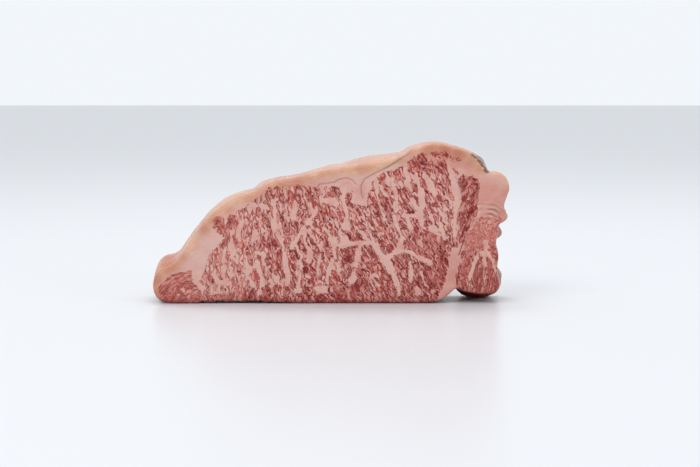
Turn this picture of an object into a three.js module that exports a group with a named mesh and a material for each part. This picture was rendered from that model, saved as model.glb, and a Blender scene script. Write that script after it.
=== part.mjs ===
// A thick-cut raw sirloin steak with its fat cap, standing on the flat lower edge of its cut.
// Millimetres, +Z up. X runs along the cut face, Y from the front cut face through to the back one,
// and the origin is under the middle of the steak, on the surface that it stands on. The outlines
// below are drawn with the front cut face at Y 0, and the whole steak is centred at the end.
// The steak is one piece, so it is one closed solid: two cut faces joined by the outer skin.

import * as THREE from "three";

const THICKNESS = 42;
const MIDDLE = [0.47, -THICKNESS / 2]; // moves the outlines' own frame so that the steak stands over its origin
const EDGE_ROUND = 2.2; // how softly a cut face rolls over into the outer skin
const SKIN_SWELL = 0.4; // how far the skin stands out between the two cut faces

const COLUMNS = 88; // from the tail to the chine end, along a cut face
const ROWS = 15; // from the lower edge to the fat cap, up a cut face
const STATIONS = 8; // through the thickness, on the outer skin
const COLUMN_CROWDING = 1.25; // above 1, the columns stand closer at the knobbly chine end

// The edge of the front cut face, as [x, z], from the tip of the tail over the fat cap.
const TAIL_TIP = [-118, 11];
const CHINE_TIP = [118, 76];
const TAIL_TOP = [[-117, 17], [-113.5, 21.5], [-107.5, 24.5], [-102, 29], [-97, 35]];
const FLANK = [[-91, 41.5], [-85, 51.5], [-77.5, 59.5], [-66, 68.5]];
const FAT_CAP = [[-58, 72], [-50.5, 73.5], [-45.5, 77.5], [-35.5, 81.5], [-20, 84.5], [-4, 89], [14.5, 91.5],
  [33.5, 95], [47, 98.5]];
const CROWN = [[54, 103], [62, 105.3], [71, 106.3], [79, 104.6], [88, 101.5], [95, 98], [100.5, 93.2], [103, 88.3]];
const CHINE_LOBE = [[105.5, 86.6], [110.5, 87], [115, 84.2], [117.4, 80.3]];
const UPPER_EDGE = [TAIL_TIP, ...TAIL_TOP, ...FLANK, ...FAT_CAP, ...CROWN, ...CHINE_LOBE, CHINE_TIP];

// The same edge below, from the tip of the tail along the flat foot and up the chine side.
const TAIL_FOOT = [[-117, 6.2], [-114.5, 2.4], [-109.5, 0.3]];
const FOOT = [[-101, 0], [-87, 0], [-73, 0], [-56, 0.9], [-39, 0], [-20, 0], [0, 0], [20, 0], [40, 0], [60, 0]];
const HEEL = [[69, 0.6], [75, 2.8], [79.5, 6.5]];
const NOTCH = [[83, 10.5]];
const CHINE_FOOT = [[87.5, 8.6], [95.5, 6.6], [104, 5.8], [110.4, 7.2], [112.4, 12]];
const CHINE_SIDE = [[110.8, 18], [110.6, 24], [111.6, 31], [109.8, 39], [110.3, 46], [111.2, 52.4]];
const CHINE_LEDGE = [[115.5, 54.8], [117.2, 57.5], [115, 62], [114.4, 65.5], [116.3, 70]];
const LOWER_EDGE = [TAIL_TIP, ...TAIL_FOOT, ...FOOT, ...HEEL, ...NOTCH, ...CHINE_FOOT, ...CHINE_SIDE,
  ...CHINE_LEDGE, CHINE_TIP];

// Lumps of the outer skin: where on the edge, how wide, how deep into the thickness (0 front, 1 back)
// with what spread, and how far they stand out. The cap rises behind the front face in the same way.
const LUMPS = [
  { name: "tail lobe", at: [-109, 22.5], reach: 9, depth: 0.65, spread: 0.5, height: 6.2 },
  { name: "flank", at: [-93, 41], reach: 12, depth: 0.7, spread: 0.6, height: 3.6 },
  { name: "cap foot", at: [-74, 61], reach: 18, depth: 0.7, spread: 0.6, height: 2.8 },
  { name: "cap hump", at: [-45, 78], reach: 9, depth: 0.6, spread: 0.5, height: 2 },
  { name: "cap rise", at: [26, 93], reach: 18, depth: 1, spread: 0.6, height: 3 },
  { name: "shoulder", at: [102, 91], reach: 8, depth: 0.5, spread: 0.45, height: 2.2 },
  { name: "lobe slope", at: [107, 86], reach: 9, depth: 1, spread: 0.6, height: -3 },
  { name: "upper knuckle", at: [110, 45], reach: 4.5, depth: 0.8, spread: 0.3, height: 6.5 },
  { name: "lower knuckle", at: [110.5, 15], reach: 4.5, depth: 0.8, spread: 0.3, height: 2.5 },
  { name: "chine heel", at: [99, 7], reach: 14, depth: 1, spread: 0.5, height: 9 },
];
const SKIN_RIPPLE = 0.55; // height of the fat's own small hills
const RIPPLE_LENGTH = 17;
const CROSSED_RIPPLES = [[1, 0.6, 0], [0, 0.8, -0.7]]; // directions of two ripples that break each other up
const FINE_RIPPLE = [1.7, -1.1, 0.9];
const FINE_SHARE = 0.6;

// Relief of the cut faces: a slow wave from the knife, and the valley where the chine muscle parts.
const KNIFE_WAVE = 0.45;
const KNIFE_WAVE_LENGTH = 70;
const SEAM = [[83, 9], [84, 24], [87, 40], [93, 54], [95, 70]];
const SEAM_DEPTH = 1.5;
const SEAM_WIDTH = 3.2;
const FOOT_BLEND = [0.4, 4]; // heights over which lumps and ripple set in, so that the foot is flat

const toPoint = ([x, z]) => new THREE.Vector2(x, z);
const smooth = (points) => new THREE.SplineCurve(points.map(toPoint));
const bell = (t) => Math.exp(-t * t);

// Points at crowding column shares of a curve's length, kept on or above the surface.
function columnPoints(edge) {
  const curve = smooth(edge);
  return Array.from({ length: COLUMNS + 1 }, (_, i) => {
    const share = 1 - (1 - i / COLUMNS) ** COLUMN_CROWDING;
    const p = curve.getPointAt(share);
    return new THREE.Vector2(p.x, Math.max(p.y, 0));
  });
}

// The closed loop round a face: along the lower edge, then back over the upper one.
function loopOf(lower, upper) {
  return [...lower, ...upper.slice(1, -1).reverse()];
}

function outwardNormals(loop) {
  return loop.map((_, k) => {
    const before = loop[(k - 1 + loop.length) % loop.length];
    const after = loop[(k + 1) % loop.length];
    const along = after.clone().sub(before).normalize();
    return new THREE.Vector2(along.y, -along.x);
  });
}

function distanceToSegment(p, a, b) {
  const ab = b.clone().sub(a);
  const t = THREE.MathUtils.clamp(p.clone().sub(a).dot(ab) / ab.lengthSq(), 0, 1);
  return p.distanceTo(a.clone().addScaledVector(ab, t));
}

function distanceToLine(p, line, closed) {
  const last = closed ? line.length : line.length - 1;
  let least = Infinity;
  for (let k = 0; k < last; k++) {
    least = Math.min(least, distanceToSegment(p, line[k], line[(k + 1) % line.length]));
  }
  return least;
}

// How far the skin stands out of the front edge's outline, at a point of it and a share of the depth.
function swell(p, depth) {
  const bulge = SKIN_SWELL * Math.sin(Math.PI * depth);
  const lumps = LUMPS.reduce((sum, lump) => {
    const away = p.distanceTo(toPoint(lump.at)) / lump.reach;
    return sum + lump.height * bell(away) * bell((depth - lump.depth) / lump.spread);
  }, 0);
  const place = new THREE.Vector3(p.x, depth * THICKNESS, p.y).multiplyScalar((2 * Math.PI) / RIPPLE_LENGTH);
  const wave = (direction, phase) => Math.sin(place.dot(new THREE.Vector3(...direction)) + phase);
  const ripple = wave(CROSSED_RIPPLES[0], 0) * wave(CROSSED_RIPPLES[1], 1) + FINE_SHARE * wave(FINE_RIPPLE, 0);
  const offFoot = THREE.MathUtils.smoothstep(p.y, ...FOOT_BLEND);
  return offFoot * (bulge + lumps + SKIN_RIPPLE * ripple * Math.sin(Math.PI * depth) ** 0.5);
}

const seamLine = smooth(SEAM).getSpacedPoints(20);

// How far a cut face lies behind its plane, at a point of it and its distance from the face's edge.
function sink(p, edgeDistance) {
  const inside = Math.min(edgeDistance, EDGE_ROUND);
  const roll = EDGE_ROUND - Math.sqrt(EDGE_ROUND ** 2 - (EDGE_ROUND - inside) ** 2);
  const turn = (2 * Math.PI) / KNIFE_WAVE_LENGTH;
  const wave = KNIFE_WAVE * (1 + Math.sin(turn * p.x + 1) * Math.cos(turn * 0.7 * p.y)) * (inside / EDGE_ROUND);
  const seam = SEAM_DEPTH * bell(distanceToLine(p, seamLine, false) / SEAM_WIDTH) * (inside / EDGE_ROUND);
  return roll + wave + seam;
}

const positions = [];
const triangles = [];

function addVertex(x, y, z) {
  positions.push(x, y, z);
  return positions.length / 3 - 1;
}

// One cut face as a grid of columns and rows. Its two tips are single points.
function cutFace(lower, upper, depthOf) {
  const loop = loopOf(lower, upper);
  const put = (p) => addVertex(p.x, depthOf(sink(p, distanceToLine(p, loop, true))), p.y);
  const tips = { 0: put(lower[0]), [COLUMNS]: put(lower[COLUMNS]) };
  return lower.map((low, i) =>
    Array.from({ length: ROWS + 1 }, (_, j) => {
      const share = 0.5 - 0.5 * Math.cos((Math.PI * j) / ROWS);
      return tips[i] ?? put(low.clone().lerp(upper[i], share));
    }),
  );
}

// Two triangles between four corners, less any that has closed up at a tip.
function addQuad(a, b, c, d) {
  for (const t of [[a, b, c], [a, c, d]]) {
    if (new Set(t).size === 3) triangles.push(...t);
  }
}

function addFaceTriangles(grid, facesFront) {
  for (let i = 0; i < COLUMNS; i++) {
    for (let j = 0; j < ROWS; j++) {
      const corners = [grid[i][j], grid[i + 1][j], grid[i + 1][j + 1], grid[i][j + 1]];
      addQuad(...(facesFront ? corners : corners.reverse()));
    }
  }
}

function gridLoop(grid) {
  return loopOf(grid.map((column) => column[0]), grid.map((column) => column[ROWS]));
}

// The outline at a depth, as the loop of the front edge pushed out by the skin's lumps. A lump that
// reaches the surface below is pressed flat on it.
function outlineAt(depth) {
  return frontLoop.map((p, k) => {
    const moved = p.clone().addScaledVector(normals[k], swell(p, depth));
    return new THREE.Vector2(moved.x, Math.max(moved.y, 0));
  });
}

const frontLower = columnPoints(LOWER_EDGE);
const frontUpper = columnPoints(UPPER_EDGE);
const frontLoop = loopOf(frontLower, frontUpper);
const normals = outwardNormals(frontLoop);
const backLoop = outlineAt(1);
const backLower = backLoop.slice(0, COLUMNS + 1);
const backUpper = [backLoop[0], ...backLoop.slice(COLUMNS + 1).reverse(), backLoop[COLUMNS]];

const frontGrid = cutFace(frontLower, frontUpper, (s) => s);
const backGrid = cutFace(backLower, backUpper, (s) => THICKNESS - s);
addFaceTriangles(frontGrid, true);
addFaceTriangles(backGrid, false);

// The outer skin: rings of the outline between the two edges.
const rings = [gridLoop(frontGrid)];
for (let s = 1; s < STATIONS; s++) {
  const depth = s / STATIONS;
  const y = THREE.MathUtils.lerp(EDGE_ROUND, THICKNESS - EDGE_ROUND, depth);
  rings.push(outlineAt(depth).map((p) => addVertex(p.x, y, p.y)));
}
rings.push(gridLoop(backGrid));
for (let s = 0; s < STATIONS; s++) {
  for (let k = 0; k < frontLoop.length; k++) {
    const next = (k + 1) % frontLoop.length;
    addQuad(rings[s][k], rings[s + 1][k], rings[s + 1][next], rings[s][next]);
  }
}

const geometry = new THREE.BufferGeometry()
  .setAttribute("position", new THREE.Float32BufferAttribute(positions, 3))
  .setIndex(triangles);
geometry.computeVertexNormals();

const meat = new THREE.MeshStandardMaterial({ color: 0xb97a72, roughness: 0.45, metalness: 0 });
const steak = new THREE.Mesh(geometry, meat);
steak.name = "sirloin_steak";
steak.position.set(...MIDDLE, 0);

const group = new THREE.Group();
group.add(steak);
export default group;
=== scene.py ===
import math

import bmesh
import bpy
import numpy as np
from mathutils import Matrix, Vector, kdtree, noise


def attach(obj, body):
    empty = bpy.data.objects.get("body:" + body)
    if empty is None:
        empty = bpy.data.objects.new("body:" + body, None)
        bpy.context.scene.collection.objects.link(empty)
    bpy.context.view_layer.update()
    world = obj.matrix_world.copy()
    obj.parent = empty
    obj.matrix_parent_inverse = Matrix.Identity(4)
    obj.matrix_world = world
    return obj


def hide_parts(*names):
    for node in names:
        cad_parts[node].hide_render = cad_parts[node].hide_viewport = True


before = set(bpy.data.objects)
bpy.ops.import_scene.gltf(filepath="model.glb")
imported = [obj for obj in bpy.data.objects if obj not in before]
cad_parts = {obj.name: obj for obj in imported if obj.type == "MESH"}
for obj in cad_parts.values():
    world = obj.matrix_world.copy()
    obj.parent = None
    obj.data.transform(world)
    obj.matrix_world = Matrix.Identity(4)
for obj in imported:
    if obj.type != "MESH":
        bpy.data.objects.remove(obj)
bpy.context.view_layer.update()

# --- The slab of meat -------------------------------------------------------------------------
# One thick slice of strip loin: muscle, seam fat and fat cap grown together. It is cut with two
# strokes of a long knife, so its two faces are flat and wet, and its skin keeps its own lumps.

VOXEL = 0.00085  # metres, edge of the dressed mesh's cells
FLAT_ENOUGH = 0.7  # radians, triangles that bend less than this are joined into quads

# All other sizes of the slab are in millimetres.
MM_PER_METRE = 1000.0
MIDDLE_X = 0.47  # the drawn outlines' zero along the face, seen from the origin
HALF_THICKNESS = 21.0
FACE_TURN = (0.6, 0.95)  # share of Y in a normal, from the skin's round edge to the flat cut face

SKIN_HILLS = ((8.0, 0.34, 10), (3.2, 0.13, 11))  # length, height and seed of the fat's soft hills
FACE_HILLS = ((14.0, 0.16, 20), (2.4, 0.07, 21))
VEIN_RAISE = 0.2  # fat stands this far above the lean on a cut face
VEIN_SLOPE = 0.8
FLAT_FOOT = 2.0  # relief dies out over this height, so that the foot stands flat

# The hills of the chine end, torn where it was parted from the bone.
TORN_LENGTH = 8.0
TORN_HEIGHT = 1.2
TORN_FROM_X = (82, 92)
TORN_FROM_Y = (9, 17)

# The soft folds of the ledge: short waves up the end, which arch a little and fade above and below.
FOLD_LENGTH = 3.2
FOLD_HEIGHT = 0.9
FOLD_MIDDLE = 61
FOLD_REACH = 4.6
FOLD_FROM = (88, 100)
FOLD_CREST = 102
FOLD_ARCH = 0.03
FOLD_WANDER = 1.8
FOLD_PATCH = 7.0

# The low gap where the lower edge is raised off the surface, at the tail side of the foot.
GAP_HEIGHT = 3.2
GAP_RISE = (-92, -80)
GAP_FALL = (-18, -43)
GAP_LENGTH = 4.0

# The cracks where the chine muscle parts from the loin: points along, width and depth.
CRACKS = (
    {"line": ((88.2, 42.0), (86.6, 37.6), (85.0, 32.6)), "width": 0.75, "depth": 0.7},
    {"line": ((75.6, 35.2), (74.3, 32.0), (73.2, 29.0), (72.5, 25.2)), "width": 0.7, "depth": 0.8},
    {"line": ((85.0, 32.6), (84.3, 26.5), (82.6, 19.0), (81.4, 13.5)), "width": 0.8, "depth": 0.3},
)
CRACK_RED_AND_SHADE_WIDTH = 0.8  # the red of a crack is narrower than the crack, by this share


def drawn(points):
    """Object metres as millimetres along the face, through the slab from its front, and up."""
    return points * MM_PER_METRE + np.array([-MIDDLE_X, HALF_THICKNESS, 0.0])


def distance_to_line(places, line):
    """Millimetres from each (x, z) place to a line through a few points."""
    least = np.full(len(places), np.inf)
    for start, end in zip(np.array(line[:-1], float), np.array(line[1:], float)):
        along = end - start
        share = np.clip(((places - start) @ along) / (along @ along), 0, 1)
        least = np.minimum(least, np.linalg.norm(places - start - share[:, None] * along, axis=1))
    return least


def depth_in_outline(places, outline):
    """Millimetres from each (x, z) place in to a closed outline, negative outside it."""
    closed = list(outline) + [outline[0]]
    inside = np.zeros(len(places), bool)
    for (x1, z1), (x2, z2) in zip(closed[:-1], closed[1:]):
        if z1 != z2:
            crosses = (z1 > places[:, 1]) != (z2 > places[:, 1])
            inside ^= crosses & (places[:, 0] < x1 + (places[:, 1] - z1) * (x2 - x1) / (z2 - z1))
    return np.where(inside, 1, -1) * distance_to_line(places, closed)


def smoothstep(low, high, values):
    """0 below low and 1 above high, with a soft rise between. low may be the greater."""
    share = np.clip((values - low) / (high - low), 0, 1)
    return share * share * (3 - 2 * share)


def hills(places, length, seed):
    """Soft random hills from -1 to 1, about a length apart."""
    shift = Vector((seed * 17.3, seed * 5.1, seed * 9.7))
    return np.array([noise.noise(Vector(p) / length + shift) for p in places])


def crack_sink(places, line, width, depth):
    """How deep a crack is at each place, as a soft groove on both sides of its line."""
    away = distance_to_line(places[:, (0, 2)], line)
    return depth * np.exp(-((away / width) ** 2))


solid = bmesh.new()
solid.from_mesh(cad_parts["sirloin_steak"].data)
bmesh.ops.remove_doubles(solid, verts=solid.verts, dist=1e-6)
bmesh.ops.join_triangles(
    solid, faces=solid.faces, cmp_seam=False, cmp_sharp=False, cmp_uvs=False, cmp_vcols=False,
    cmp_materials=False, angle_face_threshold=FLAT_ENOUGH, angle_shape_threshold=FLAT_ENOUGH,
)
steak_mesh = bpy.data.meshes.new("steak")
solid.to_mesh(steak_mesh)
solid.free()
steak = bpy.data.objects.new("steak", steak_mesh)
bpy.context.scene.collection.objects.link(steak)
bpy.context.view_layer.objects.active = steak
steak.select_set(True)

rounding = steak.modifiers.new("rounding", "SUBSURF")
rounding.levels = rounding.render_levels = 2
cells = steak.modifiers.new("cells", "REMESH")
cells.mode = "VOXEL"
cells.voxel_size = VOXEL
easing = steak.modifiers.new("easing", "SMOOTH")
easing.factor = 0.5
easing.iterations = 3
for modifier in (rounding, cells, easing):
    bpy.ops.object.modifier_apply(modifier=modifier.name)
steak_mesh = steak.data


def read_points(mesh, what="vertices", field="co"):
    flat = np.zeros(len(mesh.vertices) * 3, np.float32)
    getattr(mesh, what).foreach_get(field, flat)
    return flat.reshape(-1, 3).astype(float)


places = drawn(read_points(steak_mesh))
normals = read_points(steak_mesh, "vertex_normals", "vector")
on_face = smoothstep(*FACE_TURN, np.abs(normals[:, 1]))
on_skin = 1 - on_face

# --- Where muscle, veins and fat lie ----------------------------------------------------------
# The slice shows the loin eye, the tail muscle, the chine muscle and a strip between eye and chine.
# Each is parted by veins of pale fat. All run through the slab, wandering a little on the way.

# The muscles' outlines on the front face, in millimetres along it and up.
MUSCLES = {
    "eye": (
        (-87, 0), (-85, 6), (-82, 10), (-86, 15), (-84, 20), (-82, 28), (-80, 32), (-76, 37), (-71, 42),
        (-69, 44), (-76, 47), (-77.5, 50), (-76.5, 56), (-73, 58), (-67, 58), (-62, 61), (-56, 64),
        (-52, 68), (-47, 71), (-42, 74), (-38, 77), (-31, 77.5), (-22, 78), (-16, 77.5), (-8, 76.5),
        (-2, 77), (6, 77), (7.5, 70), (12, 67), (18, 65.5), (22, 64.5), (25.5, 68), (26, 76), (28.5, 80),
        (31.5, 84), (36, 87), (42, 88.5), (48, 92), (53.5, 96), (59, 98.5), (65, 99.5), (71, 100.5),
        (75.5, 98), (77.5, 93), (78, 88), (79, 84), (82, 80), (84, 74), (84.5, 64), (82.5, 56), (83.5, 50),
        (82, 46), (84, 43), (84, 38), (79, 38), (77.5, 33), (78, 26), (76, 22), (75, 15), (73, 11),
        (70.5, 5), (69.5, -4), (-87, -4),
    ),
    "seam strip": (
        (84.5, 80), (86.5, 83.5), (90, 84), (96, 82.5), (97, 78), (96, 72), (95.5, 66), (96.5, 63.5),
        (95.5, 59), (93.3, 54.5), (91, 50), (89, 45.5), (87.5, 41), (85.5, 41), (84.8, 45.5), (83.5, 50),
        (83.5, 55), (84.3, 59), (85.5, 63.5), (87.5, 68), (87, 74),
    ),
    "chine": (
        (100.5, 58), (105, 57.5), (110.5, 57.5), (114, 55), (118, 30), (118, -4), (86, -4), (83.3, 13.5),
        (84.8, 19), (86, 24), (87, 30), (87.5, 35), (89, 41), (91, 47), (95, 53),
    ),
    "tail": (
        (-114, 5), (-113.5, 10), (-111, 13.5), (-108, 17), (-104, 19.5), (-100, 20.8), (-93, 21), (-92, 17),
        (-90.5, 13.5), (-88.5, 10), (-86, 7), (-84, 0), (-84, -4), (-112, -4),
    ),
    "stray fleck": ((10.5, 70), (10.8, 73), (13.5, 74), (14.5, 71), (12.8, 68.5)),
    "crown sliver": ((75.4, 101), (78, 98.6), (81, 96.6), (86, 95.2), (81, 94.6), (77.6, 96.6)),
    "crown fleck": ((78.6, 90.6), (81, 89.6), (84.4, 86.2), (83, 85.2), (79.6, 88)),
}

# Veins of fat: width in millimetres, then the points that each runs through.
VEINS = (
    (3.6, ((-37.3, 67), (-37.2, 60), (-37, 54), (-36, 47))),
    (3.4, ((-36, 47), (-32.8, 40), (-30.8, 34))),
    (4.6, ((-30.8, 34), (-29.3, 28), (-28.7, 21), (-28.7, 13))),
    (3.0, ((-28.7, 13), (-25, 8.2), (-21, 8.5))),
    (3.4, ((-30, 33), (-26, 38), (-23, 42), (-20, 46.5), (-17, 51), (-14, 55.5), (-10.5, 59), (-9, 64))),
    (3.6, ((-51, 65.5), (-46, 65), (-41.5, 64))),
    (4.4, ((-23.2, 66.5), (-23.6, 62), (-25, 57.5))),
    (3.8, ((-13.5, 66), (-12, 61))),
    (4.8, ((-5, 69), (0, 68.2), (4, 66.5))),
    (3.8, ((7.8, 71), (9, 66), (10.6, 60.5), (10.5, 52.5))),
    (1.6, ((-4.5, 66), (-3, 60), (0.5, 54))),
    (2.2, ((-69, 58), (-69.3, 51))),
    (4.4, ((-58, 55), (-60, 51), (-61, 46), (-60, 42))),
    (2.8, ((-66, 41.5), (-65, 35), (-63.8, 29))),
    (2.4, ((-70.7, 35.5), (-71, 28))),
    (2.0, ((-61, 36), (-57, 35.2), (-53, 35.2))),
    (2.6, ((-50, 34.5), (-44, 32))),
    (1.6, ((-56, 34), (-55.2, 26), (-55.5, 19), (-56, 14), (-55.3, 6))),
    (2.8, ((-48.5, 28), (-47.3, 23.5), (-45.3, 18.5), (-45.4, 12))),
    (3.4, ((-78.5, 25), (-77.5, 20), (-74.5, 15))),
    (4.2, ((-74.5, 14.5), (-66.5, 13.5))),
    (2.2, ((-63.6, 26), (-63.8, 20), (-63.2, 13.5))),
    (2.6, ((-64.6, 10), (-63.4, 2))),
    (2.0, ((-47.8, 10), (-48, 2))),
    (2.4, ((-19.4, 28), (-19.3, 21), (-21, 14), (-21, 9))),
    (3.0, ((-13.2, 35.5), (-12.4, 31.5))),
    (2.8, ((-6, 41), (-6.2, 35), (-7.8, 29), (-8.6, 20), (-8.4, 14))),
    (6.0, ((-6.8, 9.8), (-4, 9.4))),
    (3.0, ((2.3, 38), (2.3, 30), (0.5, 26), (-1.6, 21), (-2.2, 14))),
    (3.8, ((1, 39.5), (6, 38.5), (9.5, 39.3), (15, 40), (21, 40.5), (27, 41), (30, 38.5))),
    (3.6, ((19.6, 38.5), (17.6, 31), (16.6, 25), (15.6, 19))),
    (5.2, ((15.8, 18), (13.5, 15.5))),
    (4.8, ((30, 38.5), (32, 34), (35.5, 30.5), (40, 32), (44, 35), (46.6, 38.5), (47, 43))),
    (6.6, ((36, 29), (38.4, 26.5), (40.3, 22.5))),
    (4.8, ((40.3, 22), (42.5, 17.5), (44, 13))),
    (2.6, ((44, 13), (45.4, 6.5))),
    (3.8, ((46, 35), (52.5, 34.8), (57, 31), (62, 29.3), (66.2, 27.2))),
    (3.8, ((52.4, 28), (53.6, 22), (53.1, 16))),
    (2.6, ((27, 18.4), (31.3, 18), (31.8, 12))),
    (3.4, ((57.3, 10.4), (57.7, 7.4))),
    (2.2, ((60, 21), (61.6, 15), (63, 11.5))),
    (3.8, ((37.8, 83.5), (39.4, 80), (42, 75), (43.3, 70), (43, 65.5), (44, 62))),
    (4.0, ((48.8, 87), (51, 81.5), (52.4, 78))),
    (4.4, ((57, 85), (58.6, 78), (60.2, 72), (60.7, 66), (60, 60), (60.6, 53.5))),
    (4.4, ((47.5, 58.5), (52, 58.3), (58, 59))),
    (3.4, ((51.3, 57), (51.5, 53), (52.6, 47.5))),
    (3.6, ((53.8, 69.5), (53.6, 67.5))),
    (4.8, ((63.2, 83.5), (66, 78.5), (68.6, 73.5))),
    (2.2, ((34.5, 60), (37, 54), (40.5, 48.5), (44.5, 43.5))),
    (2.8, ((42.3, 58), (43.2, 53), (45.6, 47), (48, 42))),
    (1.3, ((30.5, 75), (32.5, 66), (34.8, 57))),
    (1.6, ((36.3, 82), (38.6, 74), (39.5, 66), (41, 60))),
    (1.2, ((27.3, 67), (29.4, 58), (32, 51))),
    (2.4, ((18.5, 57), (20.5, 51), (22.5, 45), (24, 41.5))),
    (2.0, ((12, 57.2), (17, 56.2))),
    (1.8, ((72.3, 86), (74, 80), (76, 74.5), (77.5, 71))),
    (4.0, ((78.2, 95), (79.2, 88), (81.2, 82))),
    (6.4, ((82.2, 79), (83.8, 72), (84, 67))),
    (4.2, ((83.3, 64), (82.3, 57), (82, 51), (82.5, 46))),
    (2.6, ((72.4, 60), (72.8, 54), (73.6, 48.5), (75.4, 43.5))),
    (2.6, ((62, 50.8), (67, 49.2), (73, 49.2))),
    (2.2, ((77.4, 62), (77.6, 60.8))),
    (2.2, ((79.5, 57.5), (81, 53))),
    (2.6, ((91.2, 69.4), (91.4, 67.6))),
    (3.2, ((98.7, 34.6), (95.4, 28), (92.9, 20.5), (91.6, 15.5))),
    (3.6, ((100.4, 34), (102, 27), (102.6, 21), (101.8, 14))),
    (3.6, ((102.6, 42), (103.2, 37.5))),
    (2.8, ((103, 35.5), (106.6, 29), (109, 22))),
    (3.0, ((91, 13.2), (93.2, 11.6))),
    (2.4, ((-98.4, 10), (-97, 8.2))),
)

# How far the pattern wanders between the front face and the back one, and how long its bends are.
DRIFT = 4.5
DRIFT_LENGTH = 38.0
CAP_TURN = (0.15, 0.45)  # share of Z in a normal, from the sides to the cap's own skin
CAP_FAT = 6  # the cap is fat this deep under its skin

share_through = places[:, 1] / (2 * HALF_THICKNESS)
drift = np.stack([hills(places, DRIFT_LENGTH, 3), hills(places, DRIFT_LENGTH, 4)], axis=1)
section = places[:, (0, 2)] + DRIFT * 2 * drift * share_through[:, None]

muscle_depth = {name: depth_in_outline(section, outline) for name, outline in MUSCLES.items()}
lean = np.max(list(muscle_depth.values()), axis=0)
vein = np.min([distance_to_line(section, line) - width / 2 for width, line in VEINS], axis=0)
cap_skin = smoothstep(*CAP_TURN, normals[:, 2]) * on_skin
flesh = np.minimum(lean, vein) - CAP_FAT * cap_skin

# The relief follows them: fat stands a little proud of the lean, cracks sink, and the skin is lumpy.
relief = np.zeros(len(places))
for share, waves in ((on_skin, SKIN_HILLS), (on_face, FACE_HILLS)):
    for length, height, seed in waves:
        relief += share * height * hills(places, length, seed)
torn = smoothstep(*TORN_FROM_X, places[:, 0]) * smoothstep(*TORN_FROM_Y, places[:, 1]) * on_skin
relief += torn * TORN_HEIGHT * hills(places, TORN_LENGTH, 33)
relief += on_face * VEIN_RAISE * smoothstep(VEIN_SLOPE, -VEIN_SLOPE, flesh)

arch = FOLD_ARCH * (places[:, 0] - FOLD_CREST) ** 2
fold_place = places[:, 2] + arch + FOLD_WANDER * hills(places, FOLD_PATCH, 30)
folds = np.sin(2 * math.pi * fold_place / FOLD_LENGTH)
fold_share = smoothstep(*FOLD_FROM, places[:, 0])
fold_share *= np.exp(-(((places[:, 2] - FOLD_MIDDLE) / FOLD_REACH) ** 2))
fold_share *= 0.55 + 0.9 * hills(places, FOLD_PATCH, 31)
relief += FOLD_HEIGHT * folds * fold_share

front = normals[:, 1] < -FACE_TURN[0]
for crack in CRACKS:
    relief -= front * crack_sink(places, **crack)
relief *= smoothstep(0.0, FLAT_FOOT, places[:, 2])

moved = read_points(steak_mesh) + normals * (relief / MM_PER_METRE)[:, None]
gap = GAP_HEIGHT * (0.55 + 0.8 * hills(places * (1, 0.3, 1), GAP_LENGTH, 40))
gap *= smoothstep(*GAP_RISE, places[:, 0])
gap *= smoothstep(*GAP_FALL, places[:, 0])
moved[:, 2] = np.maximum(moved[:, 2], gap / MM_PER_METRE)
steak_mesh.vertices.foreach_set("co", moved.astype(np.float32).ravel())
steak_mesh.update()

# Each muscle's own grain: u runs across its fibre bundles and v along them, both in millimetres.
EYE_LEAN = (0.08, 0.47)  # sideways run for each millimetre up, at the tail end and at the chine end
EYE_TURN = (-80, 35)  # the eye's bundles turn from one to the other between these
EYE_MIDDLE = 50
EYE_CLOSER = 0.25  # the eye's bundles lie this much closer on the tail side of EYE_CLOSER_FROM
EYE_CLOSER_FROM = -20
STRIP_LEAN = 0.35
TAIL_CENTRE = (-90, -10)
TAIL_ARC = 15.0
CHINE_FAN = (99, -28)  # the chine muscle's bundles fan out from here
CHINE_ARC = 60
CHINE_FINE_FROM = 34  # the chine muscle's flecks are finer above this height
CHINE_FINE = (CHINE_FINE_FROM - 3, CHINE_FINE_FROM + 9)
CHINE_RAGGED = 3.5  # its parts meet along a line that wanders this far up and down

x, z = section[:, 0], section[:, 1]
slope = EYE_LEAN[0] + (EYE_LEAN[1] - EYE_LEAN[0]) * smoothstep(*EYE_TURN, x)
eye_grain = (x + slope * (z - EYE_MIDDLE) + EYE_CLOSER * np.minimum(x - EYE_CLOSER_FROM, 0), z)
from_tail = section - np.array(TAIL_CENTRE)
from_fan = section - np.array(CHINE_FAN)
ragged_z = z + CHINE_RAGGED * hills(places, 7.0, 51)
fineness = smoothstep(*CHINE_FINE, ragged_z)
grains = {
    "eye": eye_grain,
    "stray fleck": eye_grain,
    "crown sliver": eye_grain,
    "crown fleck": eye_grain,
    "seam strip": (x - STRIP_LEAN * (z - EYE_MIDDLE), z),
    "tail": (np.linalg.norm(from_tail, axis=1), TAIL_ARC * np.arctan2(from_tail[:, 1], -from_tail[:, 0])),
    "chine": (
        CHINE_ARC * np.arctan2(from_fan[:, 0], from_fan[:, 1]) * (1 + 0.7 * fineness),
        z + 1.6 * np.maximum(z - CHINE_FINE_FROM, 0),
    ),
}
nearest = np.array(list(MUSCLES))[np.argmax(list(muscle_depth.values()), axis=0)]
grain = np.zeros((len(places), 3))
for name, (across, along) in grains.items():
    chosen = nearest == name
    grain[chosen, 0] = across[chosen]
    grain[chosen, 2] = along[chosen]
grain[:, 1] = places[:, 1]
chine = (nearest == "chine").astype(float)
strip = nearest == "seam strip"
tail = nearest == "tail"

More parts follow.
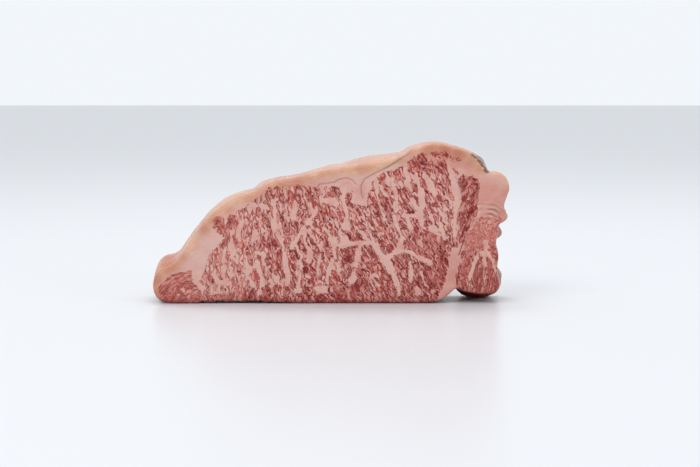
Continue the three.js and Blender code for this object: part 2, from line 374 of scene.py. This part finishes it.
# How far each place of a face lies from the outer skin, which sets the fat's colour.
END_FADE = (97, 104)
END_DEPTH = 4  # the chine end counts as this much further in, so its fat keeps the inner colour
is_skin = np.abs(normals[:, 1]) < 0.5
is_skin &= (normals[:, 2] > -0.3) | (places[:, 2] > 12)
tree = kdtree.KDTree(int(is_skin.sum()))
for index in np.flatnonzero(is_skin):
    tree.insert(Vector(places[index]), int(index))
tree.balance()
rim = np.array([tree.find(Vector(p))[2] for p in places])
rim += END_DEPTH * smoothstep(*END_FADE, places[:, 0])

# Thin grey membranes in the fat cap: width, then points.
MEMBRANES = (
    (0.34, ((-8.5, 77), (-7.4, 79.6), (-2, 80), (3, 81), (6.5, 83), (11, 83.6), (15, 82), (16.6, 79.5))),
    (0.4, ((21.3, 70.5), (20.3, 74), (20, 78), (22.5, 83), (28, 86), (35.5, 89.8))),
    # The broad one below is grey membrane and also painted shade beside its crease.
    (0.75, ((35.5, 89.8), (39, 91.5), (45.5, 95.8), (50.5, 99), (54.5, 102.5), (56.5, 104.5))),
    (0.4, ((82.3, 84.2), (85.3, 81), (87.3, 75))),
)
# Places where the lean is darkest: x, z and radius.
DEEP_SPOTS = (
    (-74.5, 54.5, 3.4), (-71.5, 51.5, 2.2), (-65.5, 55, 3), (-70, 41.8, 3), (-62.6, 41, 2),
    (-51.5, 6.5, 3.4), (-57, 5, 2.6), (-42, 9, 2.4), (-16, 4.5, 3), (-43, 4, 3), (-38.5, 40, 3),
    (-33.8, 33, 2), (-8.8, 34, 2), (7.5, 8, 4), (14, 35, 3), (11.5, 28, 3), (31, 62, 3), (90, 77, 3),
    (92.5, 67, 3.5), (90, 61, 3.5), (87, 54, 3), (60, 17, 4), (20, 12, 5), (37, 66, 3), (56, 96, 3),
    (60, 94, 3), (70, 91, 3), (73.5, 93, 3), (64, 41, 4), (67, 12, 3.4), (88.5, 81, 2.4), (91, 73, 2),
    (94, 71.5, 2), (94, 60, 3.2), (89, 52, 3), (96.5, 24, 4), (97.5, 16, 5), (105.5, 27, 4), (106, 15, 6),
    (91, 12, 4), (-109, 9, 5), (-105, 3, 6), (92, 2, 7), (103, 1, 8), (89, 26, 3),
)
# Where the fat is browner than elsewhere, pinker, or paler and waxy: x, z, radius and strength.
TANNED_SPOTS = (
    (113.5, 47.5, 4.5, 1.0), (114, 16, 4, 0.8), (110, 77, 7, 0.3), (-109, 27, 8, 1.0), (-117, 17, 7, 0.9),
    (-115, 6, 6, 0.8), (-98, 31, 4, 0.5), (-84, 50, 5, 0.7), (-79, 56, 5, 0.5), (-53, 72, 6, 0.5),
    (-41, 78, 4, 0.5), (-33, 81, 7, 0.6), (-20, 84, 7, 0.6), (0, 88, 7, 0.3), (19, 92, 7, 0.5),
    (46, 95, 4, 0.5), (56, 101, 6, 0.1), (66, 102, 7, 0.7), (76, 101, 7, 1.0), (84, 99, 8, 1.0),
    (92, 94, 7, 0.7), (97, 90, 5, 0.5), (115, 75, 5, 0.5), (111, 68, 5, 0.3), (100, 79, 6, 0.3),
    (113, 60, 4, 0.5),
)
PINK_SPOTS = (
    (-24, 79, 6, 0.7), (-10, 78, 6, 0.6), (-45, 74, 5, 0.6), (-66, 62, 4, 0.6), (52, 98, 4, 0.6),
    (62, 98, 5, 0.6), (72, 97, 5, 0.6), (92, 81, 6, 0.7), (102, 70, 8, 0.8), (106, 62, 7, 0.5),
    (79, 30, 9, 0.7), (80, 18, 9, 0.8), (76, 6, 8, 0.8), (20, 74, 4, 0.5), (90, 63, 5, 0.6),
)
WAXY_SPOTS = ((-80, 41, 8, 0.9), (-86, 30, 8, 0.8), (-94, 27, 6, 0.5), (60, 64, 7, 0.5), (37, 34, 7, 0.6))
# The two dark knuckles on the chine end, in the same way.
KNUCKLES = ((113.5, 47.5, 4, 1.0), (113.5, 21, 4, 0.8))
# The grey edge where the shoulder's fat has dried: a line along the skin, and how far it spreads.
CRUST_LINE = ((86, 103), (92, 100.5), (96.5, 98), (100, 94.5), (102.5, 91), (103.5, 87.5))
CRUST_REACH = (4.0, 1.0)
CRUST_FROM_X = (84, 99)
CRUST_FROM_Z = (85.5, 88)


def spots(places, marks):
    """The strongest of some soft round marks at each (x, z) place."""
    return np.max([
        strength * np.exp(-((places[:, 0] - mark_x) ** 2 + (places[:, 1] - mark_z) ** 2) / radius**2)
        for mark_x, mark_z, radius, strength in marks
    ], axis=0)


membrane = np.min([distance_to_line(section, line) - width / 2 for width, line in MEMBRANES], axis=0)
membrane += 3 * smoothstep(0.6, 0.1, on_face)  # none shows on the skin, where the fat isn't cut

# The lean is darkest at its marked spots, and darker than elsewhere in these parts. Along the foot the
# darkening is painted shade.
deep_and_foot_shade = np.max([
    spots(section, [(*spot, 1.0) for spot in DEEP_SPOTS]),
    # painted shade, darker towards the foot
    0.7 * smoothstep(9, 1, places[:, 2]),  # along the foot
    0.65 * chine * smoothstep(36, 25, ragged_z),  # low in the chine muscle
    0.5 * strip,
    0.35 * smoothstep(15, 45, x) * smoothstep(52, 38, z),  # the eye's lower half, next to the strip
    0.35 * tail,
], axis=0)
# The red of each crack is partly the lean in the seam and partly painted shade in its groove.
crack_red_and_shade = front * np.max([
    crack_sink(places, crack["line"], crack["width"] * CRACK_RED_AND_SHADE_WIDTH, crack["depth"])
    for crack in CRACKS
], axis=0)

# Both the crust and the dark knuckles break up as they run back through the slab. The knuckles are
# dark on its back half, where they stand out.
patchy = hills(places, 9.0, 50) + 0.7 * hills(places, 3.6, 53) + smoothstep(22, 5, places[:, 1]) - 0.35
patchy = smoothstep(-0.7, 0.6, patchy)
crust = smoothstep(*CRUST_REACH, distance_to_line(places[:, (0, 2)], CRUST_LINE))
crust *= smoothstep(*CRUST_FROM_X, places[:, 0]) * smoothstep(*CRUST_FROM_Z, places[:, 2])
crust *= patchy
run_back = hills(places, 12.0, 52)
ragged_end = places[:, (0, 2)] + np.stack([np.zeros(len(places)), 5.0 * run_back], axis=1)
knuckle = spots(ragged_end, KNUCKLES) * on_skin
knuckle = knuckle * (0.6 + 0.4 * patchy) * smoothstep(12, 26, places[:, 1])

# Painted shade: the red underside of the raised chine block is painted a flat dark red, and a dark line runs
# along the foot.
under_red_and_shade = smoothstep(8.5, 6.0, places[:, 2]) * smoothstep(80, 86, places[:, 0]) * on_skin
# painted shade along the foot, where the raised edge stands off the floor
under_red_and_shade = np.maximum(under_red_and_shade, 0.5 * smoothstep(4.0, 0.4, places[:, 2]))

# Fat gains a little on the lean along every edge, and more towards the tail, where the flecks' pale
# cores are larger too. The strip is nearly all lean.
tailward = smoothstep(-25, -70, x)
flesh = np.where(flesh < 0, 1.8, 1.4) * flesh - 0.5 - 0.3 * tailward + 0.9 * strip


def write_attribute(name, values):
    kind = "FLOAT_VECTOR" if values.ndim == 2 else "FLOAT"
    attribute = steak_mesh.attributes.new(name, kind, "POINT")
    field = "vector" if values.ndim == 2 else "value"
    attribute.data.foreach_set(field, values.astype(np.float32).ravel())


for name, values in {
    "grain": grain,
    "flesh": np.clip(flesh, -6, 6),
    "tailward": tailward,
    "rim": rim,
    "membrane": np.clip(membrane, -1, 3),
    "deep_and_foot_shade": deep_and_foot_shade,
    # painted shade in the folds' hollows and a painted highlight on their crests
    "fold_shade": np.clip(-2.2 * fold_share * folds, 0, 1),
    "ridge_highlight": np.clip(1.6 * fold_share * folds, 0, 1),
    "under_red_and_shade": under_red_and_shade,
    "cap": np.stack([rim, places[:, 1], 0.9 * places[:, 0] + 0.4 * places[:, 2]], axis=1),
    "tan": spots(section, TANNED_SPOTS),
    "pink": spots(section, PINK_SPOTS),
    "crack": crack_red_and_shade,
    "crust": crust,
    "chine": chine,
    "rosy": chine * (0.15 + 0.45 * fineness) + 0.2 * tail,
    "waxy": spots(section, WAXY_SPOTS),
    # painted shade on the upward-facing skin
    "upward_skin_shade": smoothstep(0.1, 0.7, normals[:, 2]) * on_skin,
    "knuckle": knuckle,
}.items():
    write_attribute(name, values)
for polygon in steak_mesh.polygons:
    polygon.use_smooth = True

# --- The raw meat and fat ---------------------------------------------------------------------
# Fresh beef, heavily marbled: dark red lean broken into flecks by fine fat, with pale veins between
# the bundles. The cap's fat is cream to peach, dried and dark on its shoulder. The rest is moist.

meat = bpy.data.materials.new("raw_marbled_beef")
meat.use_nodes = True
recipe = meat.node_tree
recipe.nodes.clear()


def paint(code):
    """A colour written as on a paint chart, in Blender's linear light."""
    parts = [int(code[i:i + 2], 16) / 255 for i in (0, 2, 4)]
    return [c / 12.92 if c <= 0.04045 else ((c + 0.055) / 1.055) ** 2.4 for c in parts] + [1.0]


def add(kind, inputs=(), **settings):
    made = recipe.nodes.new(kind)
    for name, value in settings.items():
        setattr(made, name, value)
    for name, value in dict(inputs).items():
        if isinstance(value, bpy.types.NodeSocket):
            recipe.links.new(value, made.inputs[name])
        else:
            made.inputs[name].default_value = value
    return made


def attribute(name, output="Fac"):
    return add("ShaderNodeAttribute", attribute_name=name).outputs[output]


def maths(operation, a, b=0.0, c=0.0):
    return add("ShaderNodeMath", {0: a, 1: b, 2: c}, operation=operation).outputs[0]


def times(a, b):
    return maths("MULTIPLY", a, b)


def centred(value, middle=0.5):
    return maths("SUBTRACT", value, middle)


def plus_times(base, value, factor):
    """base with factor times value added to it."""
    return maths("MULTIPLY_ADD", value, factor, base)


def step(value, low, high):
    """0 below low and 1 above high, with a soft rise between. low may be the greater."""
    return add(
        "ShaderNodeMapRange", {"Value": value, "From Min": low, "From Max": high},
        interpolation_type="SMOOTHSTEP",
    ).outputs["Result"]


def layered(ground, layers):
    """A ground colour with others laid over it in turn, each in its own share."""
    for share, over in layers:
        made = add("ShaderNodeMix", {"Factor": share, 6: ground, 7: over}, data_type="RGBA")
        ground = made.outputs[2]
    return ground


def in_sizes(place, size):
    """A place counted in steps of the given size along each axis."""
    return add("ShaderNodeMapping", {"Vector": place, "Scale": [1 / s for s in size]}).outputs[0]


def cloud(place, size, detail=2.0, roughness=0.5):
    """Noise from 0 to 1 with hills of the given size along each axis of place."""
    return add("ShaderNodeTexNoise", {
        "Vector": in_sizes(place, size), "Scale": 1.0, "Detail": detail, "Roughness": roughness,
    }).outputs["Fac"]


def mosaic(place, feature, output):
    """A mosaic of irregular cells, each about one unit of place wide."""
    return add("ShaderNodeTexVoronoi", {"Vector": place, "Scale": 1.0}, feature=feature).outputs[output]


grain_place = attribute("grain", "Vector")
cap_place = attribute("cap", "Vector")
object_place = add("ShaderNodeMapping", {
    "Vector": add("ShaderNodeTexCoord").outputs["Object"], "Scale": [MM_PER_METRE] * 3,
}).outputs[0]

# A muscle is a mosaic of bundles, each a dark red sleeve round a paler core. Fat fills the gaps, and
# broader fat parts the bundles into clusters. Sizes are across a bundle, through the slab and along.
BUNDLE_WIDTH = 2.7
BUNDLE_SIZE = (BUNDLE_WIDTH, 14.0, 9.0)
CLUSTER_SIZE = (8.0, 24.0, 15.0)
ISLAND_SIZE = (5.0, 20.0, 9.0)
STROKE_SIZE = (1.6, 6.0, 5.5)
FIBRE_SIZE = (0.8, 4.0, 3.8)
SPECK_SIZE = (0.8, 2.0, 1.3)
MOTTLE_SIZE = (9, 9, 9)
BEND_SCALE = 0.3
BEND_REACH = (5.0, 0, 8.0)  # how far the bundles wander from their straight course

# How much each of these counts towards lean and against fat, in millimetres.
FAR_IN_LEAN = 2.4
FAR_IN_FAT = -6.0
CLUSTER_RISE = 10.0
CLUSTER_GAP = -1.0
CLUSTER_DEEP = 2.5
BUNDLE_CHANCE = 3.0
BUNDLE_FAT = 0.34  # about this share of the bundles leans towards fat
ISLAND_DEPTH = 4.5
STROKE_DEPTH = 5.5
DEEP_LEAN = 1.5
EDGE_STROKES = 3.6
SLEEVE_GAP = -0.42

warp = add("ShaderNodeTexNoise", {"Vector": grain_place, "Scale": BEND_SCALE, "Detail": 1.0}).outputs["Color"]
warp = add("ShaderNodeVectorMath", {0: warp, 1: (0.5, 0.5, 0.5)}, operation="SUBTRACT").outputs[0]
bent_place = add(
    "ShaderNodeVectorMath", {0: warp, 1: BEND_REACH, 2: grain_place}, operation="MULTIPLY_ADD"
).outputs[0]
bundle_place = in_sizes(bent_place, BUNDLE_SIZE)
chance = add("ShaderNodeSeparateColor", {"Color": mosaic(bundle_place, "F1", "Color")}, mode="RGB").outputs
bundle_edge = mosaic(bundle_place, "DISTANCE_TO_EDGE", "Distance")
cluster_edge = mosaic(in_sizes(bent_place, CLUSTER_SIZE), "DISTANCE_TO_EDGE", "Distance")
islands = centred(cloud(grain_place, ISLAND_SIZE, 1.0))
strokes = centred(cloud(bent_place, STROKE_SIZE, 1.0))
fibres = cloud(bent_place, FIBRE_SIZE, 1.0)
specks = cloud(grain_place, SPECK_SIZE, 1.0)
mottle = cloud(object_place, MOTTLE_SIZE)

depth = add("ShaderNodeClamp", {
    "Value": attribute("flesh"), "Min": FAR_IN_FAT, "Max": FAR_IN_LEAN,
}).outputs[0]
cluster_depth = maths("MULTIPLY_ADD", cluster_edge, CLUSTER_RISE, CLUSTER_GAP)
cluster_depth = plus_times(cluster_depth, attribute("deep_and_foot_shade"), CLUSTER_DEEP)
cluster_depth = maths("ADD", attribute("chine"), cluster_depth)
pattern = maths("MINIMUM", depth, cluster_depth)
pattern = plus_times(pattern, centred(chance[0], BUNDLE_FAT), BUNDLE_CHANCE)
pattern = plus_times(pattern, islands, ISLAND_DEPTH)
pattern = plus_times(pattern, strokes, STROKE_DEPTH)
pattern = plus_times(pattern, attribute("deep_and_foot_shade"), DEEP_LEAN)
inward = plus_times(times(bundle_edge, BUNDLE_WIDTH), strokes, EDGE_STROKES)
inward = maths("MINIMUM", maths("ADD", inward, SLEEVE_GAP), pattern)

LEAN_CORE = paint("dea397")
LEAN_ROSE = paint("cf8275")
LEAN_RED = paint("9a302b")
LEAN_DARK = paint("620a0c")
LEAN_DEEP = paint("6c080b")

lean_share = step(inward, -0.85, 0.0)
core_share = step(plus_times(inward, attribute("tailward"), 0.2), 0.0, 0.6)
core_share = times(core_share, step(fibres, 0.22, 0.44))
darkness = times(step(plus_times(chance[1], fibres, 1.4), 1.8, 0.6), step(inward, -0.55, 0.0))
sleeve = layered(LEAN_RED, (
    (darkness, LEAN_DARK),
    (times(attribute("deep_and_foot_shade"), 0.8), LEAN_DEEP),
))
core = layered(LEAN_CORE, (
    (step(maths("ADD", fibres, chance[2]), 0.65, 1.4), LEAN_ROSE),
    (times(attribute("deep_and_foot_shade"), 0.75), LEAN_RED),
))
lean_colour = layered(sleeve, (
    (core_share, core),
    (times(attribute("rosy"), 0.6), LEAN_ROSE),
))

# The fat between is pink and a little grey, and turns to cream and peach in the cap near the skin.
# It is flushed with red beside the darkest lean. Painted shade browns the hollows of the ledge's folds, a
# painted highlight pales their crests, and painted shade tans the upward-facing skin.
FAT_PALE = paint("cfa59a")
FAT_PINK = paint("cb9186")
FAT_ROSE = paint("c4857a")
FAT_FLUSH = paint("b86a60")
FAT_GREY = paint("c59c92")
FAT_WAXY_AND_HIGHLIGHT = paint("cda89e")
FAT_CREAM = paint("cda68c")
FAT_PEACH = paint("c99a7c")
FAT_TAN = paint("b3725a")
FAT_STREAK = paint("dcc0aa")
FOLD_SHADE_BROWN = paint("9c5f52")
GREY_SIZE = (3.5, 3.5, 5)
CREAM_SIZE = (14, 14, 14)
STREAK_SIZE = (0.9, 12, 9)  # from the skin inwards, through the slab and along the cap
SINEW_SIZE = (1.3, 8, 8)
CAP_DEPTH = (7.5, 3.0)  # from the inner fat to the cap's own, in millimetres from the skin
CAP_RAGGED = 8.0

cap_share = step(plus_times(attribute("rim"), centred(mottle), CAP_RAGGED), *CAP_DEPTH)
cap_share = times(cap_share, maths("SUBTRACT", 1.0, attribute("chine")))
cap_fat = layered(FAT_CREAM, ((step(cloud(object_place, CREAM_SIZE), 0.4, 0.6), FAT_PEACH),))
streaks = cloud(cap_place, STREAK_SIZE, 2.0, 0.6)
sinews = cloud(cap_place, SINEW_SIZE, 2.0, 0.6)
fat_colour = layered(FAT_PALE, (
    (step(mottle, 0.44, 0.8), FAT_PINK),
    (step(cloud(object_place, GREY_SIZE), 0.55, 0.75), FAT_GREY),
    (cap_share, cap_fat),
    (times(step(streaks, 0.55, 0.75), cap_share), FAT_STREAK),
    (times(step(streaks, 0.48, 0.3), times(cap_share, 0.5)), FAT_PINK),
    (times(step(sinews, 0.52, 0.72), 0.4), FAT_ROSE),
    (attribute("pink"), FAT_ROSE),
    (times(attribute("rosy"), 0.7), FAT_ROSE),
    (times(step(attribute("flesh"), -2.2, 0.2), times(attribute("deep_and_foot_shade"), 0.85)), FAT_FLUSH),
    (attribute("waxy"), FAT_WAXY_AND_HIGHLIGHT),
    # Painted shade in the folds' hollows, then a painted highlight on their crests in the waxy colour.
    (attribute("fold_shade"), FOLD_SHADE_BROWN),
    (attribute("ridge_highlight"), FAT_WAXY_AND_HIGHLIGHT),
    (attribute("tan"), FAT_TAN),
    # Painted shade: the upward-facing skin is tanned to hold down the light from above.
    (times(attribute("upward_skin_shade"), 0.25), FAT_TAN),
))

# Over both lie the membranes, the dried crust, the cracks' red with painted shade in their grooves, the
# underside's red darkened as painted shade, and the dark knuckles.
MEMBRANE_GREY = paint("86685f")
CRUST_GREY = paint("7d5443")
CRUST_BROWN = paint("402722")
CRACK_RED_AND_SHADE = paint("741714")
UNDER_RED_AND_SHADE = paint("7a1612")
KNUCKLE_BROWN = paint("52301f")
CRUST_EDGE_SIZE = (2.2, 5, 2.2)
CRUST_FLAKE_SIZE = (1.3, 2.5, 1.3)

crust_share = plus_times(attribute("crust"), centred(cloud(object_place, CRUST_EDGE_SIZE, 3.0)), 1.6)
crust_share = times(step(crust_share, 0.3, 0.9), step(attribute("crust"), 0.0, 0.2))
flakes = cloud(object_place, CRUST_FLAKE_SIZE, 3.0, 0.7)
crust_colour = layered(CRUST_GREY, ((step(flakes, 0.4, 0.62), CRUST_BROWN),))
colour = layered(fat_colour, (
    (lean_share, lean_colour),
    (times(step(attribute("membrane"), 0.6, -0.1), 0.75), MEMBRANE_GREY),
    (crust_share, crust_colour),
    (step(attribute("crack"), 0.15, 0.8), CRACK_RED_AND_SHADE),
    (attribute("under_red_and_shade"), UNDER_RED_AND_SHADE),
    (attribute("knuckle"), KNUCKLE_BROWN),
))

# The cut is wet: a fine uneven film over specks of fibre, with the cap smoother and the underside dull.
FILM_SIZE = (0.5, 0.5, 0.5)
SWELL_SIZE = (2.4, 2.4, 1.6)
GLOSS_SIZE = (2.5, 2.5, 2.5)
BUMP_METRES = 0.0004

film = maths("MULTIPLY_ADD", lean_share, -0.06, times(specks, 0.2))
film = plus_times(film, cloud(object_place, FILM_SIZE), 0.4)
film = plus_times(film, cloud(object_place, SWELL_SIZE), 1.6)
bump = add("ShaderNodeBump", {"Height": film, "Strength": 0.6, "Distance": BUMP_METRES}).outputs[0]
roughness = maths("MULTIPLY_ADD", cloud(object_place, GLOSS_SIZE), 0.25, 0.27)
roughness = plus_times(roughness, cap_share, -0.1)
roughness = maths("MAXIMUM", roughness, attribute("under_red_and_shade"))

shader = add("ShaderNodeBsdfPrincipled", {
    "Base Color": colour, "Roughness": roughness, "Normal": bump,
    "Subsurface Weight": 0.12, "Subsurface Radius": (1.0, 0.4, 0.25), "Subsurface Scale": 0.0015,
    "Specular IOR Level": 0.2, "Coat Weight": 0.1, "Coat Roughness": 0.1,
})
add("ShaderNodeOutputMaterial", {"Surface": shader.outputs[0]})
steak_mesh.materials.clear()
steak_mesh.materials.append(meat)

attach(steak, "root")
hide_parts("sirloin_steak")

# --- Floor, light and camera ------------------------------------------------------------------
# A plain pale polished floor, three soft lights and a long lens a little above the steak.

FLOOR_SIZE = 14.0
STONE_GREY = paint("d4d5d8")
SKY = (0.93, 0.965, 1.0, 1.0)
SKY_STRENGTH = 0.96

floor_shape = bmesh.new()
bmesh.ops.create_grid(floor_shape, x_segments=1, y_segments=1, size=FLOOR_SIZE / 2)
floor_mesh = bpy.data.meshes.new("floor")
floor_shape.to_mesh(floor_mesh)
floor_shape.free()
floor = bpy.data.objects.new("floor", floor_mesh)
bpy.context.scene.collection.objects.link(floor)
stone = bpy.data.materials.new("pale_stone")
stone.use_nodes = True
surface = stone.node_tree.nodes["Principled BSDF"]
surface.inputs["Base Color"].default_value = STONE_GREY
surface.inputs["Roughness"].default_value = 0.3
surface.inputs["Specular IOR Level"].default_value = 0.12
floor_mesh.materials.append(stone)

world = bpy.data.worlds.new("studio")
world.use_nodes = True
sky = world.node_tree.nodes["Background"]
sky.inputs["Color"].default_value = SKY
sky.inputs["Strength"].default_value = SKY_STRENGTH
bpy.context.scene.world = world

LIGHTS_AIM = Vector((0, 0, 0.05))


def softbox(name, place, size, watts, tint):
    """A soft rectangular light, turned towards the steak."""
    lamp = bpy.data.lights.new(name, "AREA")
    lamp.shape = "RECTANGLE"
    lamp.size, lamp.size_y = size
    lamp.energy = watts
    lamp.color = tint
    holder = bpy.data.objects.new(name, lamp)
    holder.location = place
    holder.rotation_euler = (LIGHTS_AIM - Vector(place)).to_track_quat("-Z", "Y").to_euler()
    bpy.context.scene.collection.objects.link(holder)


softbox("key", (-0.9, -1.3, 1.5), (1.0, 1.0), 14, (1.0, 0.97, 0.93))
softbox("top", (0.1, 0.5, 1.4), (0.9, 0.5), 6.5, (0.98, 0.99, 1.0))
softbox("fill", (1.5, -0.9, 0.7), (0.9, 0.9), 4.5, (0.97, 0.985, 1.0))

LENS = 85
SENSOR = 36
PITCH = math.radians(5.5)
DISTANCE = 1.091
AIM = Vector((0.01334, -HALF_THICKNESS / MM_PER_METRE, 0.0468))
camera_data = bpy.data.cameras.new("camera")
camera_data.lens = LENS
camera_data.sensor_width = SENSOR
camera = bpy.data.objects.new("camera", camera_data)
camera.location = AIM + DISTANCE * Vector((0, -math.cos(PITCH), math.sin(PITCH)))
camera.rotation_euler = (AIM - camera.location).to_track_quat("-Z", "Y").to_euler()
bpy.context.scene.collection.objects.link(camera)
bpy.context.scene.camera = camera
bpy.context.scene.view_settings.view_transform = "Standard"
